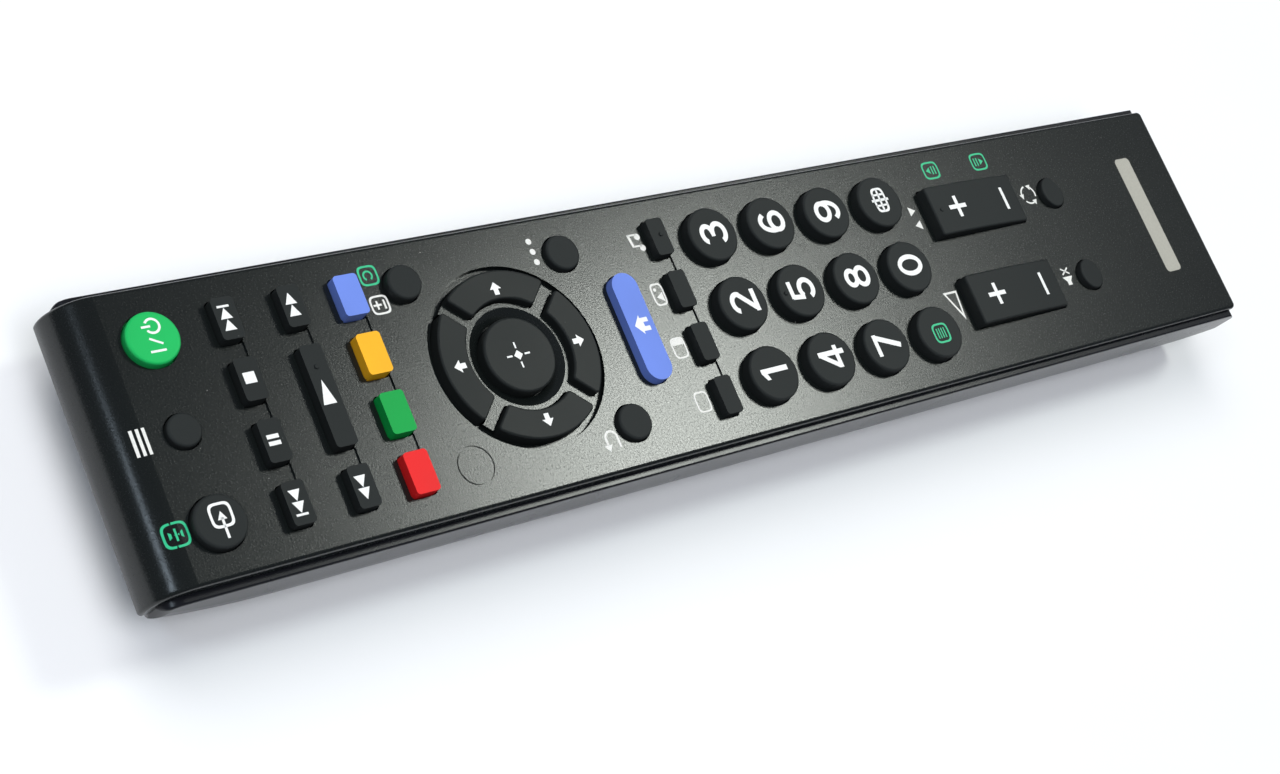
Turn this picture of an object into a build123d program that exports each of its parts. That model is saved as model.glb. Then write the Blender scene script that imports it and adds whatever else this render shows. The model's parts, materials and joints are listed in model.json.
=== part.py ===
from build123d import *
import os
from math import asin, cos, radians, sin, sqrt

# Television remote control, lying on its back. Millimetres.
# +Y points to the emitter end, +X to the right hand of the person who holds it, +Z up.
# The origin is on the surface it rests on, under the middle of the case.

# Outside of the case. Keys and board are placed from its front end at END_Y,
# cells and door from its rear end.
CASE_LENGTH = 248.1
END_Y = CASE_LENGTH / 2
CASE_WIDTH = 48.8
PLATE_TOP = 19.5
PLATE_THICKNESS = 1.8
TOP_WIDTH = 46.2
TOP_EDGE_ROUND = 0.62
TOP_CORNER_ROUND = 1.0
TOP_REAR_SETBACK = 2.65
NOSE_RADIUS = 6.8
NOSE_ANGLE = 102.0
NOSE_LIP_ROUND = 0.5
SEAM_DEPTH_FRONT = 2.6
SEAM_DEPTH_REAR = 1.3
SEAM_RADIUS = 3.4
SEAM_INSET = 1.75
SEAM_GAP = 0.15
SEAM_TOE = 0.3
CASE_WALL = 2.0
LEDGE_ROUND = 0.35
BELLY_RADIUS = 10.0
FRONT_RADIUS = 10.0
REAR_RADIUS = 12.2
REAR_LEAN = 3.5
REAR_LEAN_MID = 0.9
CASE_CORNER_ROUND = 1.6
KEEL_RADIUS = 70.0
KEEL_SWEEP = 50.0
FRONT_KEEL_Y = END_Y - 26.05
REAR_KEEL_Y = 17.05 - END_Y

# Lip of the top case that locates in the lower case
LIP_WALL = 1.1
LIP_FOOT = 3.9
LIP_CLEARANCE = 0.2
LIP_FRONT_Y = END_Y - 11.05

# Stack under the plate
FLANGE_GAP = 0.2
FLANGE_THICKNESS = 0.5
FLANGE_REACH = 0.8
KEY_CLEARANCE = 0.25
KEY_TRAVEL = 0.8
STEM_RADIUS = 1.5
STEM_FOOT_GAP = 0.1
BOARD_DEPTH = 4.5
BOARD_THICKNESS = 1.2
BOARD_SIDE_GAP = 0.6
BOARD_FRONT_Y = END_Y - 9.05
BOARD_REAR_Y = 7.55 - END_Y
SHEET_THICKNESS = 0.5
SHEET_MARGIN = 0.3
SHEET_REAR_Y = END_Y - 215.05
SHEET_FRONT_GAP = 0.5
COLLAR_HEIGHT = 0.5
COLLAR_WALL = 0.5
COLLAR_CLEARANCE = 0.4

# Screws through the board into posts of the lower case: a pair in front, one at each side
# and one behind the cells
FRONT_SCREW_X = (-7.0, 6.4)
FRONT_SCREW_Y = END_Y - 13.05
SIDE_SCREW_INSET = 2.3
SIDE_SCREW_Y = END_Y - 82.55
REAR_SCREW_Y = 15.55 - END_Y
SCREW_RADIUS = 0.9
SCREW_HEAD_RADIUS = 1.7
SCREW_HEAD_HEIGHT = 1.0
SCREW_LENGTH = 8.0
SCREW_CROSS = (2.2, 0.5)
SCREW_CROSS_DEPTH = 0.5
SCREW_CLEARANCE = 0.1
POST_RADIUS = 1.9
POST_FOOT_Z = 1.8

# Layout of the keys: columns by X, rows by Y
COLUMN_PITCH = 10.05
NUMBER_PITCH_X = 13.49
NUMBER_PITCH_Y = 13.7
NUMBER_FIRST_Y = END_Y - 120.05
POWER_PLACE = (14.4, END_Y - 13.05)
INPUT_PLACE = (-14.8, END_Y - 12.85)
MENU_PLACE = (-0.2, END_Y - 12.75)
SKIP_ROW_Y = END_Y - 25.3
PLAY_ROW_Y = END_Y - 36.55
COLOUR_ROW_Y = END_Y - 46.85
INFO_PLACE = (15.6, END_Y - 57.05)
BLANK_PLACE = (-15.85, END_Y - 57.45)
NAV_PLACE = (0.0, END_Y - 72.75)
OPTIONS_PLACE = (15.75, END_Y - 88.75)
RETURN_PLACE = (-15.5, END_Y - 88.95)
HOME_PLACE = (0.0, END_Y - 97.55)
SMALL_ROW_Y = END_Y - 109.0
PROGRAMME_PLACE = (9.5, END_Y - 185.45)
VOLUME_PLACE = (-9.2, END_Y - 185.45)
JUMP_PLACE = (9.1, END_Y - 208.05)
MUTE_PLACE = (-9.1, END_Y - 208.05)

# Openings in the plate: radii, or widths along X and Y
NUMBER_RADIUS = 5.4
POWER_RADIUS = 4.5
INPUT_RADIUS = 4.45
MENU_RADIUS = 2.95
INFO_RADIUS = 3.3
SIDE_RADIUS = 3.45
PAIR_RADIUS = 3.4
TRANSPORT_SIZE = (7.4, 4.25)
PLAY_SIZE = (17.4, 4.25)
COLOUR_SIZE = (7.4, 4.8)
SMALL_SIZE = (7.4, 4.0)
HOME_SIZE = (20.3, 5.7)
HOME_CORNER = 2.8
ROCKER_SIZE = (10.6, 25.6)
OPENING_CORNER = 0.9
ROCKER_CORNER = 0.8
STRIP_DEPTH = 0.3
STRIP_OVERHANG = 0.2
STRIP_INSET = 0.15
BLANK_RING_RADIUS = 3.1
BLANK_RING_WIDTH = 0.22
BLANK_RING_DEPTH = 0.2

# Heights of the key tops over the plate, and their edges
NUMBER_HEIGHT = 2.05
POWER_HEIGHT = 1.3
INPUT_HEIGHT = 1.4
MENU_HEIGHT = 1.0
INFO_HEIGHT = 1.6
SIDE_HEIGHT = 1.1
TRANSPORT_HEIGHT = 1.75
COLOUR_HEIGHT = 1.7
HOME_HEIGHT = 1.6
SMALL_HEIGHT = 1.6
PAIR_HIGH = 1.3
PAIR_LOW = 0.3
ROUND_EDGE = 0.45
LONG_EDGE = 0.8
SHORT_EDGE = 0.3
SOFT_EDGE = 0.6
DOT_RADIUS = 0.4
DOT_HEIGHT = 0.25
DOT_EDGE = 0.15
DOT_SINK = 0.1
PLAY_DOT_OFFSET = (4.7, 0.2)
FIVE_DOT_OFFSET = (0.0, 3.8)
SMALL_DOT_OFFSET = (0.3, -0.3)
ROCKER_DOT_OFFSET = (0.0, 10.3)

# Navigation ring
NAV_RECESS_RADIUS = 16.07
NAV_RECESS_DEPTH = 1.0
ARC_OUTER = 15.1
ARC_INNER = 9.5
ARC_HEIGHT = 1.3
ARC_EDGE = 0.35
SPOKE_WIDTH = 1.9
ARC_CORNER = 0.7
ARC_STEM_RADIUS = 12.2
DISH_RADIUS = 8.7
DISH_DEPTH = 1.0
OK_RADIUS = 6.85
OK_HEIGHT = 0.9

# Rockers: an arched top that falls to the rear, held by two lugs in the middle
ROCKER_HIGH = 2.2
ROCKER_MIDDLE = 1.95
ROCKER_LOW = 0.85
ROCKER_END_CLEARANCE = 0.4
ROCKER_EDGE = 0.4
ROCKER_LUG_LENGTH = 4.0
ROCKER_FOOT_Y = 9.0
ROCKER_BODY_FOOT = 0.3

# Two AAA cells and their bay
CELL_RADIUS = 5.25
CELL_LENGTH = 44.5
CELL_NUB_RADIUS = 1.9
CELL_NUB_LENGTH = 1.0
CELL_EDGE = 0.4
CELL_PITCH = 10.9
BAY_CLEARANCE = 0.3
BAY_LENGTH = 52.0
BAY_MIDDLE_Y = 47.05 - END_Y
BAY_WALL = 1.2
BAY_ROOF = 0.7
CONTACT_THICKNESS = 0.4
CONTACT_SIZE = (8.0, 7.0)
CONTACT_GAP = 0.05
CONTACT_TOUCH = 0.1
SPRING_RADIUS = 2.6
SPRING_WIRE = 0.3
SPRING_TURNS = 3.5

# Battery door, a sliding shell that follows the underside and the swept rear
DOOR_THICKNESS = 1.5
DOOR_WIDTH = 27.0
DOOR_FRONT_Y = 76.55 - END_Y
DOOR_TAIL_Z = 6.0
DOOR_CLEARANCE = 0.2
SKIN_THICKNESS = 1.2
SKIN_OVERLAP = 1.8
RAIL_REACH = 0.9
RAIL_THICKNESS = 0.6
RAIL_Z = 0.8
RAIL_FRONT_Y = 64.05 - END_Y
RAIL_REAR_Y = 18.05 - END_Y
GRIP_COUNT = 6
GRIP_PITCH = 2.4
GRIP_SIZE = (14.0, 1.0)
GRIP_DEPTH = 0.35
GRIP_FIRST_Y = 32.05 - END_Y

# Emitter behind its window
WINDOW_SIZE = (18.0, 4.2)
WINDOW_Z = 9.8
WINDOW_CLEARANCE = 0.1
LED_RADIUS = 2.5
LED_FLANGE_RADIUS = 2.9
LED_FLANGE_LENGTH = 1.0
LED_LENGTH = 8.6
LED_WINDOW_GAP = 0.5
LED_LEG = 0.5
LED_LEG_PITCH = 2.54
LED_LEG_RUN = 2.0

# Components on the underside of the board
CHIP_SIZE = (7.5, 12.8, 2.0)
CHIP_PLACE = (0.0, END_Y - 94.05)
CHIP_LEG_COUNT = 10
CHIP_LEG_PITCH = 1.27
CHIP_LEG_SIZE = (1.4, 0.45, 0.3)
RESONATOR_SIZE = (7.5, 3.0, 3.5)
RESONATOR_CORNER = 1.35
RESONATOR_PLACE = (0.0, END_Y - 80.05)
CAPACITOR_RADIUS = 3.1
CAPACITOR_HEIGHT = 7.0
CAPACITOR_PLACE = (-10.0, END_Y - 32.05)
CAPACITOR_EDGE = 0.5

# Places that follow from the sizes above
NOSE_Y = END_Y - NOSE_RADIUS
NOSE_Z = PLATE_TOP - NOSE_RADIUS
TOP_REAR_Y = TOP_REAR_SETBACK - END_Y
SEAM_Y = END_Y - SEAM_INSET - SEAM_RADIUS
SEAM_Z = PLATE_TOP - SEAM_DEPTH_FRONT - SEAM_RADIUS
SEAM_REAR_Z = PLATE_TOP - SEAM_DEPTH_REAR
CASE_FRONT_Y = SEAM_Y + SEAM_RADIUS - SEAM_GAP
PLATE_UNDER = PLATE_TOP - PLATE_THICKNESS
FLANGE_TOP = PLATE_UNDER - FLANGE_GAP
FLANGE_UNDER = FLANGE_TOP - FLANGE_THICKNESS
BOARD_TOP = PLATE_TOP - BOARD_DEPTH
BOARD_UNDER = BOARD_TOP - BOARD_THICKNESS
STEM_FOOT = BOARD_TOP + KEY_TRAVEL + STEM_FOOT_GAP
SHEET_TOP = BOARD_TOP + SHEET_THICKNESS
LIP_OUTER = CASE_WIDTH / 2 - CASE_WALL - LIP_CLEARANCE
LIP_INNER = LIP_OUTER - LIP_WALL
LIP_REAR_Y = REAR_LEAN - END_Y + CASE_WALL + LIP_CLEARANCE
BOARD_WIDTH = 2 * (LIP_INNER - BOARD_SIDE_GAP)
SIDE_SCREW_X = BOARD_WIDTH / 2 - SIDE_SCREW_INSET
SCREW_PLACES = [(x, FRONT_SCREW_Y) for x in FRONT_SCREW_X]
SCREW_PLACES += [(-SIDE_SCREW_X, SIDE_SCREW_Y), (SIDE_SCREW_X, SIDE_SCREW_Y), (0.0, REAR_SCREW_Y)]
CELL_Z = DOOR_THICKNESS + BAY_CLEARANCE + CELL_RADIUS
BAY_HALF = CELL_PITCH / 2 + CELL_RADIUS + BAY_CLEARANCE
BAY_TOP = CELL_Z + CELL_RADIUS + BAY_CLEARANCE / 2
SKIN_INSET = DOOR_THICKNESS + DOOR_CLEARANCE
SLOT_HALF = DOOR_WIDTH / 2 + DOOR_CLEARANCE
FAR = CASE_LENGTH
UPRIGHT = radians(90)
FROM_LEFT = Plane.YZ.offset(-FAR)
FROM_FRONT = Plane.XZ.offset(-FAR)
COLUMNS = (-1.5 * COLUMN_PITCH, -COLUMN_PITCH / 2, COLUMN_PITCH / 2, 1.5 * COLUMN_PITCH)
NUMBERS = [
    ((column - 1) * NUMBER_PITCH_X, NUMBER_FIRST_Y - row * NUMBER_PITCH_Y)
    for row in range(4)
    for column in range(3)
]

os.makedirs("parts", exist_ok=True)


def write(solid, label):
    """Labels a finished piece and writes it to its own file."""
    solid.label = label
    export_step(solid, f"parts/{label}.step")


def block(x_range, y_range, z_range):
    """A plain box between three pairs of limits."""
    with BuildPart() as box:
        with Locations([(sum(x_range) / 2, sum(y_range) / 2, sum(z_range) / 2)]):
            Box(x_range[1] - x_range[0], y_range[1] - y_range[0], z_range[1] - z_range[0])
    return box.part


def end_round(keel_y, face_y, radius):
    """Height of the centre of an end rounding that meets the keel curve, and the angle where they meet."""
    turned = asin((abs(face_y - keel_y) - radius) / (KEEL_RADIUS - radius))
    return KEEL_RADIUS - (KEEL_RADIUS - radius) * cos(turned), turned


def swing(centre, radius, start, end):
    """An arc in side view between two angles, each turned from straight down towards +Y."""
    points = [
        (centre[0] + radius * sin(angle), centre[1] - radius * cos(angle))
        for angle in (start, (start + end) / 2, end)
    ]
    ThreePointArc(*points)


def lower_hull(inset):
    """The lower case as a solid, pulled in by inset; with no inset its top follows the seam."""
    half = CASE_WIDTH / 2 - inset
    rear = inset - END_Y
    front = CASE_FRONT_Y - inset
    keel = KEEL_RADIUS - inset
    diagonal = sqrt(0.5)
    rear_z, rear_turn = end_round(REAR_KEEL_Y, -END_Y, REAR_RADIUS)
    front_z, front_turn = end_round(FRONT_KEEL_Y, CASE_FRONT_Y, FRONT_RADIUS)
    belly_arc = BELLY_RADIUS - inset
    belly_x = CASE_WIDTH / 2 - BELLY_RADIUS
    rim = SEAM_RADIUS - SEAM_GAP
    rear_top = (rear + REAR_LEAN, SEAM_REAR_Z - SEAM_GAP)
    rear_mid = (rear + REAR_LEAN_MID, (SEAM_REAR_Z + rear_z) / 2)
    with BuildPart() as hull:
        # Side view: a flat underside that curves up towards both ends
        with BuildSketch(Plane.YZ.offset(-half)):
            with BuildLine():
                ThreePointArc(rear_top, rear_mid, (rear, rear_z))
                swing((REAR_RADIUS - END_Y, rear_z), REAR_RADIUS - inset, -UPRIGHT, -rear_turn)
                swing((REAR_KEEL_Y, KEEL_RADIUS), keel, -rear_turn, 0)
                Line((REAR_KEEL_Y, inset), (FRONT_KEEL_Y, inset))
                swing((FRONT_KEEL_Y, KEEL_RADIUS), keel, 0, front_turn)
                swing((CASE_FRONT_Y - FRONT_RADIUS, front_z), FRONT_RADIUS - inset, front_turn, UPRIGHT)
                if inset > 0:
                    Line((front, front_z), (front, 2 * PLATE_TOP))
                    Polyline((front, 2 * PLATE_TOP), (rear_top[0], 2 * PLATE_TOP), rear_top)
                else:
                    Line((front, front_z), (front, SEAM_Z + SEAM_TOE))
                    ThreePointArc(
                        (front, SEAM_Z + SEAM_TOE),
                        (SEAM_Y + rim * diagonal, SEAM_Z + rim * diagonal),
                        (SEAM_Y, SEAM_Z + rim),
                    )
                    Line((SEAM_Y, SEAM_Z + rim), rear_top)
            make_face()
        extrude(amount=2 * half)

        # End view: upright sides over rounded lower edges, which follow the keel at both ends
        with BuildPart(mode=Mode.PRIVATE) as belly:
            with BuildSketch(Plane.XZ.offset(-FRONT_KEEL_Y)):
                with BuildLine():
                    Line((-half, 2 * PLATE_TOP), (-half, BELLY_RADIUS))
                    ThreePointArc(
                        (-half, BELLY_RADIUS),
                        (-belly_x - belly_arc * diagonal, BELLY_RADIUS - belly_arc * diagonal),
                        (-belly_x, inset),
                    )
                    Line((-belly_x, inset), (belly_x, inset))
                    ThreePointArc(
                        (belly_x, inset),
                        (belly_x + belly_arc * diagonal, BELLY_RADIUS - belly_arc * diagonal),
                        (half, BELLY_RADIUS),
                    )
                    Line((half, BELLY_RADIUS), (half, 2 * PLATE_TOP))
                    Line((half, 2 * PLATE_TOP), (-half, 2 * PLATE_TOP))
                make_face()
            extrude(amount=FRONT_KEEL_Y - REAR_KEEL_Y)
            ends = belly.faces().sort_by(Axis.Y)
            front_axis = Axis((0, FRONT_KEEL_Y, KEEL_RADIUS), (1, 0, 0))
            rear_axis = Axis((0, REAR_KEEL_Y, KEEL_RADIUS), (-1, 0, 0))
            revolve(ends[-1], axis=front_axis, revolution_arc=KEEL_SWEEP)
            revolve(ends[0], axis=rear_axis, revolution_arc=KEEL_SWEEP)
        add(belly.part, mode=Mode.INTERSECT)
        with BuildSketch(Plane.XY):
            with Locations((0, (front + rear) / 2)):
                RectangleRounded(2 * half, front - rear, max(CASE_CORNER_ROUND - inset, SHORT_EDGE))
        extrude(amount=2 * PLATE_TOP, mode=Mode.INTERSECT)
    return hull.part


def side_cut(plane, middle, width, bottom, top, radius):
    """Side view of a bar with its two upper corners rounded."""
    with BuildSketch(plane) as view:
        with Locations((middle, (bottom + top) / 2)):
            Rectangle(width, top - bottom)
        fillet(view.vertices().sort_by(Axis.Y)[-2:], radius)
    return view.sketch


def rounded_bar(size, place, bottom, top, edges, corner):
    """A key cap with one rounding along its long top edges and another along its short ones."""
    width, length = size
    with BuildPart() as bar:
        with BuildSketch(Plane.XY.offset(bottom)):
            with Locations(place):
                RectangleRounded(width, length, corner)
        extrude(amount=top - bottom)
        add(side_cut(FROM_LEFT, place[1], length, bottom, top, edges[0]))
        extrude(amount=2 * FAR, mode=Mode.INTERSECT)
        add(side_cut(FROM_FRONT, place[0], width, bottom, top, edges[1]))
        extrude(amount=2 * FAR, mode=Mode.INTERSECT)
    return bar.part


def dot(place, top):
    """The small raised dot that a finger finds on a key."""
    with BuildPart() as bump:
        with BuildSketch(Plane.XY.offset(top - DOT_SINK)):
            with Locations(place):
                Circle(DOT_RADIUS)
        extrude(amount=DOT_SINK + DOT_HEIGHT)
        fillet(bump.faces().sort_by(Axis.Z)[-1].edges(), DOT_EDGE)
    return bump.part


def round_key(place, radius, height, label, bump=None):
    """A round key: cap through the plate, flange under it and a foot over the board."""
    top = PLATE_TOP + height
    with BuildPart() as key:
        with BuildSketch(Plane.XY.offset(FLANGE_TOP)):
            with Locations(place):
                Circle(radius - KEY_CLEARANCE)
        extrude(amount=top - FLANGE_TOP)
        fillet(key.faces().sort_by(Axis.Z)[-1].edges(), ROUND_EDGE)
        with BuildSketch(Plane.XY.offset(FLANGE_UNDER)):
            with Locations(place):
                Circle(radius + FLANGE_REACH)
        extrude(amount=FLANGE_THICKNESS)
        with BuildSketch(Plane.XY.offset(STEM_FOOT)):
            with Locations(place):
                Circle(STEM_RADIUS)
        extrude(amount=FLANGE_UNDER - STEM_FOOT)
        if bump:
            add(dot((place[0] + bump[0], place[1] + bump[1]), top))
    write(key.part, label)


def bar_key(place, label, size, height, edges, corner, bump=None):
    """A rectangular key: cap through the plate, flange under it and a foot over the board."""
    top = PLATE_TOP + height
    cap_size = (size[0] - 2 * KEY_CLEARANCE, size[1] - 2 * KEY_CLEARANCE)
    with BuildPart() as key:
        add(rounded_bar(cap_size, place, FLANGE_TOP, top, edges, corner - KEY_CLEARANCE))
        with BuildSketch(Plane.XY.offset(FLANGE_UNDER)):
            with Locations(place):
                RectangleRounded(size[0] + 2 * FLANGE_REACH, size[1] + 2 * FLANGE_REACH, corner)
        extrude(amount=FLANGE_THICKNESS)
        with BuildSketch(Plane.XY.offset(STEM_FOOT)):
            with Locations(place):
                Circle(STEM_RADIUS)
        extrude(amount=FLANGE_UNDER - STEM_FOOT)
        if bump:
            add(dot((place[0] + bump[0], place[1] + bump[1]), top))
    write(key.part, label)


def tilted_key(place, label):
    """A round key whose flat top falls from the emitter side to the rear."""
    radius = PAIR_RADIUS - KEY_CLEARANCE
    with BuildPart() as key:
        with BuildSketch(Plane.XY.offset(FLANGE_TOP)):
            with Locations(place):
                Circle(radius)
        extrude(amount=PLATE_TOP + PAIR_HIGH - FLANGE_TOP)
        with BuildSketch(FROM_LEFT):
            with BuildLine():
                Polyline(
                    (place[1] - radius, PLATE_TOP + PAIR_LOW),
                    (place[1] + radius, PLATE_TOP + PAIR_HIGH),
                    (place[1] + radius, FAR),
                    (place[1] - radius, FAR),
                    close=True,
                )
            make_face()
        extrude(amount=2 * FAR, mode=Mode.SUBTRACT)
        fillet(key.faces().sort_by(Axis.Z)[-1].edges(), SHORT_EDGE)
        with BuildSketch(Plane.XY.offset(FLANGE_UNDER)):
            with Locations(place):
                Circle(PAIR_RADIUS + FLANGE_REACH)
        extrude(amount=FLANGE_THICKNESS)
        with BuildSketch(Plane.XY.offset(STEM_FOOT)):
            with Locations(place):
                Circle(STEM_RADIUS)
        extrude(amount=FLANGE_UNDER - STEM_FOOT)
    write(key.part, label)


def rocker(place, label, bump=None):
    """A long key that tips about its middle, with an arched top and two feet."""
    width = ROCKER_SIZE[0] - 2 * KEY_CLEARANCE
    half = ROCKER_SIZE[1] / 2 - ROCKER_END_CLEARANCE
    x, y = place
    floor = FLANGE_UNDER + ROCKER_BODY_FOOT
    rear_top = (y - half, PLATE_TOP + ROCKER_LOW)
    front_top = (y + half, PLATE_TOP + ROCKER_HIGH)
    with BuildPart() as key:
        with BuildSketch(Plane.XY.offset(floor)):
            with Locations(place):
                RectangleRounded(width, 2 * half, ROCKER_CORNER - KEY_CLEARANCE)
        extrude(amount=PLATE_TOP + ROCKER_HIGH + ROCKER_EDGE - floor)
        with BuildSketch(FROM_LEFT):
            with BuildLine():
                ThreePointArc(rear_top, (y, PLATE_TOP + ROCKER_MIDDLE), front_top)
                Polyline(front_top, (front_top[0], FAR), (rear_top[0], FAR), rear_top)
            make_face()
        extrude(amount=2 * FAR, mode=Mode.SUBTRACT)
        fillet(key.faces().sort_by(Axis.Z)[-1].edges(), ROCKER_EDGE)
        with BuildSketch(Plane.XY.offset(FLANGE_UNDER)):
            with Locations(place):
                Rectangle(ROCKER_SIZE[0] + 2 * FLANGE_REACH, ROCKER_LUG_LENGTH)
        extrude(amount=FLANGE_THICKNESS)
        with BuildSketch(Plane.XY.offset(STEM_FOOT)):
            with Locations((x, y - ROCKER_FOOT_Y), (x, y + ROCKER_FOOT_Y)):
                Circle(STEM_RADIUS)
        extrude(amount=floor - STEM_FOOT)
        if bump:
            add(dot((x + bump[0], y + bump[1]), PLATE_TOP + ROCKER_HIGH))
    write(key.part, label)


def arc_outline(turn, growth, height):
    """Plan of one quarter of the navigation ring, between two diagonal spokes, grown on every side."""
    reach = 2 * ARC_OUTER
    spoke = SPOKE_WIDTH - 2 * growth
    left, right = radians(turn + 45), radians(turn - 45)
    x, y = NAV_PLACE
    with BuildSketch(Plane.XY.offset(height)) as quarter:
        with Locations(NAV_PLACE):
            Circle(ARC_OUTER + growth)
            Circle(ARC_INNER - growth, mode=Mode.SUBTRACT)
        with BuildLine():
            Polyline(
                (x, y),
                (x + reach * cos(right), y + reach * sin(right)),
                (x + reach * cos(left), y + reach * sin(left)),
                close=True,
            )
        make_face(mode=Mode.INTERSECT)
        with Locations(NAV_PLACE):
            Rectangle(FAR, spoke, rotation=turn + 45, mode=Mode.SUBTRACT)
            Rectangle(FAR, spoke, rotation=turn - 45, mode=Mode.SUBTRACT)
        fillet(quarter.vertices(), ARC_CORNER)
    return quarter.sketch


def arc_key(turn, label):
    """One of the four direction keys of the navigation ring."""
    stem = (
        NAV_PLACE[0] + ARC_STEM_RADIUS * cos(radians(turn)),
        NAV_PLACE[1] + ARC_STEM_RADIUS * sin(radians(turn)),
    )
    with BuildPart() as key:
        add(arc_outline(turn, -KEY_CLEARANCE, FLANGE_TOP))
        extrude(amount=PLATE_TOP + ARC_HEIGHT - FLANGE_TOP)
        fillet(key.faces().sort_by(Axis.Z)[-1].edges(), ARC_EDGE)
        add(arc_outline(turn, FLANGE_REACH, FLANGE_UNDER))
        extrude(amount=FLANGE_THICKNESS)
        with BuildSketch(Plane.XY.offset(STEM_FOOT)):
            with Locations(stem):
                Circle(STEM_RADIUS)
        extrude(amount=FLANGE_UNDER - STEM_FOOT)
    write(key.part, label)
    return stem


# Keys, and the places of their feet
feet = []

ROUND_KEYS = [
    (POWER_PLACE, POWER_RADIUS, POWER_HEIGHT, "power_key"),
    (INPUT_PLACE, INPUT_RADIUS, INPUT_HEIGHT, "input_key"),
    (MENU_PLACE, MENU_RADIUS, MENU_HEIGHT, "menu_key"),
    (INFO_PLACE, INFO_RADIUS, INFO_HEIGHT, "info_key"),
    (OPTIONS_PLACE, SIDE_RADIUS, SIDE_HEIGHT, "options_key"),
    (RETURN_PLACE, SIDE_RADIUS, SIDE_HEIGHT, "return_key"),
    (NAV_PLACE, OK_RADIUS, OK_HEIGHT, "select_key"),
]
NUMBER_NAMES = ["1", "2", "3", "4", "5", "6", "7", "8", "9", "left", "0", "right"]
for place, name in zip(NUMBERS, NUMBER_NAMES):
    ROUND_KEYS.append((place, NUMBER_RADIUS, NUMBER_HEIGHT, f"number_{name}_key"))
for place, radius, height, label in ROUND_KEYS:
    round_key(place, radius, height, label, FIVE_DOT_OFFSET if label == "number_5_key" else None)
    feet.append(place)

SHARP_EDGES = (LONG_EDGE, SHORT_EDGE)
SOFT_EDGES = (SOFT_EDGE, SOFT_EDGE)
HOME_EDGES = (LONG_EDGE, LONG_EDGE)
TRANSPORT_STYLE = (TRANSPORT_SIZE, TRANSPORT_HEIGHT, SHARP_EDGES, OPENING_CORNER)
BAR_KEYS = [
    ((0.0, PLAY_ROW_Y), "play_key", PLAY_SIZE, TRANSPORT_HEIGHT, SHARP_EDGES, OPENING_CORNER),
    ((COLUMNS[0], PLAY_ROW_Y), "rewind_key", *TRANSPORT_STYLE),
    ((COLUMNS[3], PLAY_ROW_Y), "forward_key", *TRANSPORT_STYLE),
    (HOME_PLACE, "home_key", HOME_SIZE, HOME_HEIGHT, HOME_EDGES, HOME_CORNER),
]
ROWS = [
    (SKIP_ROW_Y, ("previous_key", "pause_key", "stop_key", "next_key"), TRANSPORT_STYLE),
    (
        COLOUR_ROW_Y,
        ("red_key", "green_key", "yellow_key", "blue_key"),
        (COLOUR_SIZE, COLOUR_HEIGHT, SOFT_EDGES, OPENING_CORNER),
    ),
    (
        SMALL_ROW_Y,
        ("function_a_key", "function_b_key", "function_c_key", "function_d_key"),
        (SMALL_SIZE, SMALL_HEIGHT, SHARP_EDGES, OPENING_CORNER),
    ),
]
for y, labels, style in ROWS:
    for x, label in zip(COLUMNS, labels):
        BAR_KEYS.append(((x, y), label, *style))
BUMPS = {"play_key": PLAY_DOT_OFFSET, "function_d_key": SMALL_DOT_OFFSET}
for place, label, size, height, edges, corner in BAR_KEYS:
    bar_key(place, label, size, height, edges, corner, BUMPS.get(label))
    feet.append(place)

for turn, name in zip((0, 90, 180, 270), ("right", "up", "left", "down")):
    feet.append(arc_key(turn, f"nav_{name}_key"))
for place, label in ((JUMP_PLACE, "jump_key"), (MUTE_PLACE, "mute_key")):
    tilted_key(place, label)
    feet.append(place)
for place, label, bump in (
    (PROGRAMME_PLACE, "programme_rocker", ROCKER_DOT_OFFSET),
    (VOLUME_PLACE, "volume_rocker", None),
):
    rocker(place, label, bump)
    feet += [(place[0], place[1] - ROCKER_FOOT_Y), (place[0], place[1] + ROCKER_FOOT_Y)]

# Rows whose neighbouring keys share a shallow strip: Y, length of the keys, and X and width of each key
STRIP_ROWS = [(y, style[0][1], [(x, style[0][0]) for x in COLUMNS]) for y, labels, style in ROWS]
PLAY_ROW = [(COLUMNS[0], TRANSPORT_SIZE[0]), (0.0, PLAY_SIZE[0]), (COLUMNS[3], TRANSPORT_SIZE[0])]
STRIP_ROWS.append((PLAY_ROW_Y, PLAY_SIZE[1], PLAY_ROW))

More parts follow.
